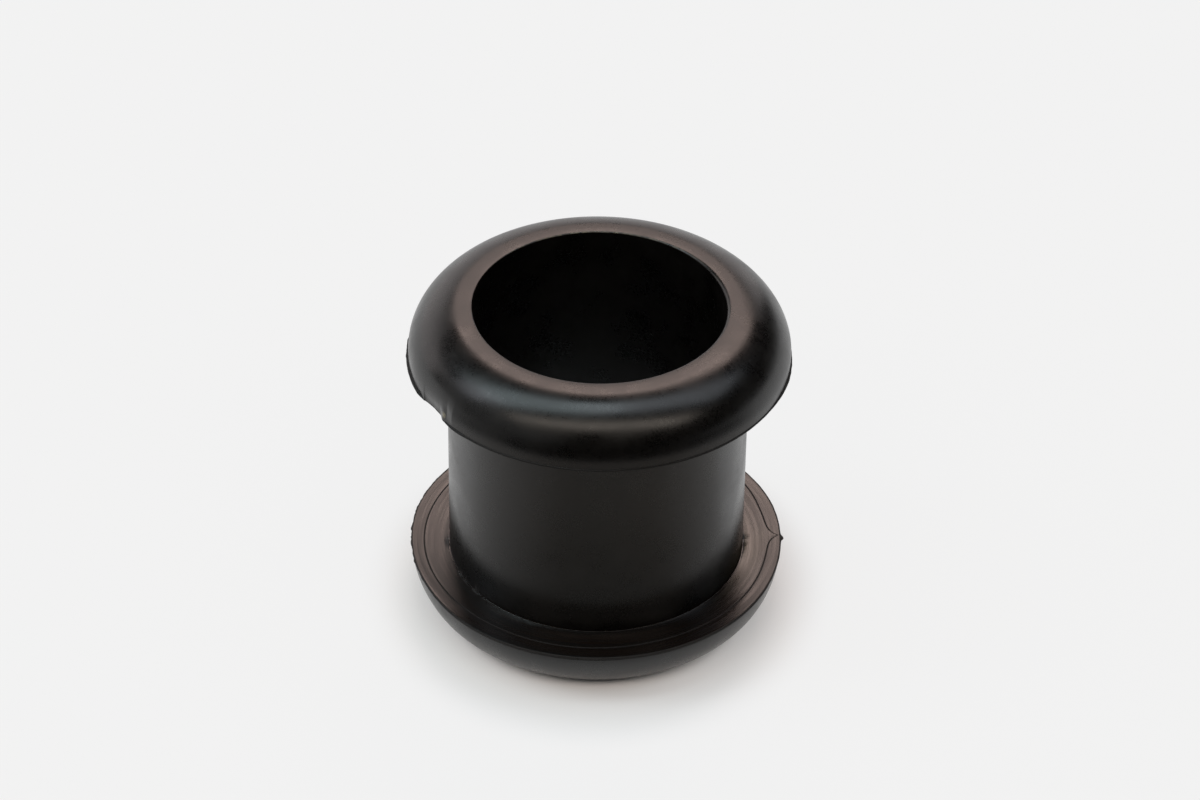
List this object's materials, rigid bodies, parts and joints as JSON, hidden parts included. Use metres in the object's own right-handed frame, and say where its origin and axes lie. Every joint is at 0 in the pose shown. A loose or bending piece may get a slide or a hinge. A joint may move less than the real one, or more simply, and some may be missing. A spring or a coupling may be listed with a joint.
{
  "type": "rubber grommet",
  "caption": "Round black rubber grommet with a through bore, a deep groove for a board's edge and a domed flange at each end.",
  "frame": {"origin": "centre of the flat ring that the lower flange stands on, on the axis of the bore", "axes": "+Z along the bore, up through the upper flange; +X towards the gate nib on the lower rim, which lies 2 degrees round from it"},
  "size_m": [0.0263, 0.0262, 0.024],
  "materials": {
    "rubber": "satin moulded black rubber with fine grain"
  },
  "bodies": {
    "root": {"grommet": "rubber"}
  },
  "joints": []
}
